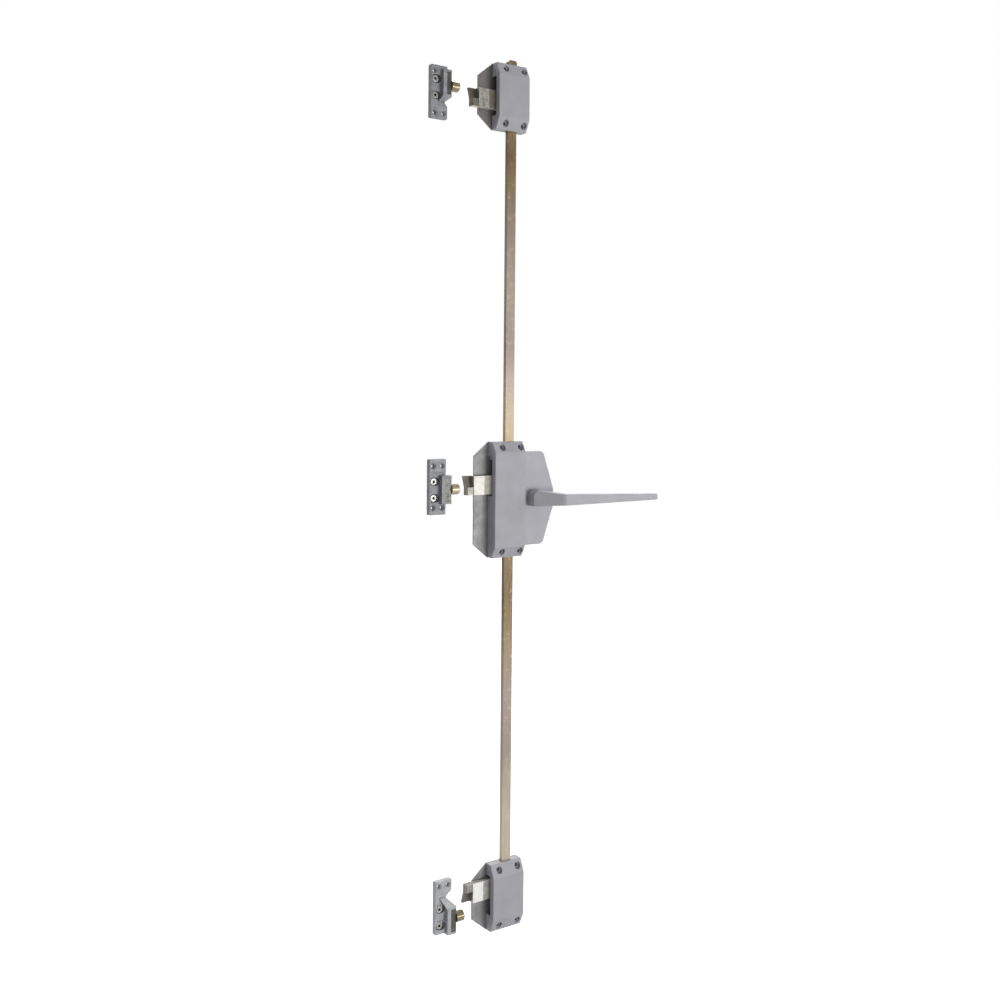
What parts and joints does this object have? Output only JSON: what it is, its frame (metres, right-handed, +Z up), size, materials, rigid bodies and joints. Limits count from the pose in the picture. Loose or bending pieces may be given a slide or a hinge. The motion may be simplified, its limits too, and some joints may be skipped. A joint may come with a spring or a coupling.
{
  "type": "cremone bolt",
  "caption": "Surface-mounted cremone bolt: a lever handle drives toothed slides, rods and catch hooks in sloped cases, with separate keepers and pins.",
  "frame": {"origin": "on the door face, on the rods' centre line and halfway up the centre case", "axes": "+Z up along the rods, +X along the door towards the lever's tip, +Y into the door"},
  "size_m": [0.3699, 0.057, 1.2109],
  "materials": {
    "cover_paint": "satin grey paint on a die casting",
    "lever_paint": "satin grey paint on a forged lever",
    "zinc_plate": "zinc-plated sheet with a mottled grey surface",
    "bright_steel": "bright zinc plate over a cast surface",
    "yellow_zinc": "yellow passivated zinc with iridescent bands",
    "gear_steel": "plain greased steel",
    "screw_steel": "bright zinc-plated steel",
    "carrier_steel": "dull zinc-plated steel",
    "keeper_cast": "matt grey cast zinc",
    "bush_plastic": "matt dark polymer"
  },
  "bodies": {
    "case": {"center_base_plate": "zinc_plate", "upper_base_plate": "zinc_plate", "lower_base_plate": "zinc_plate", "center_cover": "cover_paint", "upper_cover": "cover_paint", "lower_cover": "cover_paint", "center_case_screws": "screw_steel", "upper_case_screws": "screw_steel", "lower_case_screws": "screw_steel", "handle_plate": "cover_paint", "handle_plate_screws": "screw_steel", "handle_bush": "bush_plastic", "idler_axle": "gear_steel", "axle_clip": "gear_steel", "center_keeper_base": "keeper_cast", "center_keeper_carrier": "carrier_steel", "center_keeper_pin": "yellow_zinc", "center_keeper_screws": "screw_steel", "upper_keeper_base": "keeper_cast", "upper_keeper_carrier": "carrier_steel", "upper_keeper_pin": "yellow_zinc", "upper_keeper_screws": "screw_steel", "lower_keeper_base": "keeper_cast", "lower_keeper_carrier": "carrier_steel", "lower_keeper_pin": "yellow_zinc", "lower_keeper_screws": "screw_steel"},
    "handle": {"lever_handle": "lever_paint", "spindle": "gear_steel", "spindle_pinion": "gear_steel", "grub_screw": "screw_steel"},
    "idler": {"idler_pinion": "gear_steel"},
    "upper_bolt": {"upper_rod": "yellow_zinc", "upper_slider": "gear_steel", "center_hook": "bright_steel", "center_hook_screws": "screw_steel", "upper_hook": "bright_steel", "upper_hook_screws": "screw_steel"},
    "lower_bolt": {"lower_rod": "yellow_zinc", "lower_slider": "gear_steel", "lower_rod_rivets": "screw_steel", "lower_hook": "bright_steel", "lower_hook_screws": "screw_steel"}
  },
  "joints": [
    {"name": "handle_turn", "type": "hinge", "parent": "case", "child": "handle", "pos_m": [0.042, -0.006, 0.001], "axis": [0, 1, 0], "range_deg": [0, 90]},
    {"name": "idler_turn", "type": "hinge", "parent": "case", "child": "idler", "pos_m": [0, -0.006, 0], "axis": [0, 1, 0], "range_deg": [-113, 0]},
    {"name": "upper_bolt_slide", "type": "slide", "parent": "case", "child": "upper_bolt", "axis": [0, 0, 1], "range_m": [0, 0.018]},
    {"name": "lower_bolt_slide", "type": "slide", "parent": "case", "child": "lower_bolt", "axis": [0, 0, -1], "range_m": [0, 0.018]}
  ],
  "couplings": [
    {"joint": "idler_turn", "follows": "handle_turn", "ratio": -1.25},
    {"joint": "upper_bolt_slide", "follows": "handle_turn", "m_per_rad": 0.01125},
    {"joint": "lower_bolt_slide", "follows": "handle_turn", "m_per_rad": 0.01125}
  ]
}
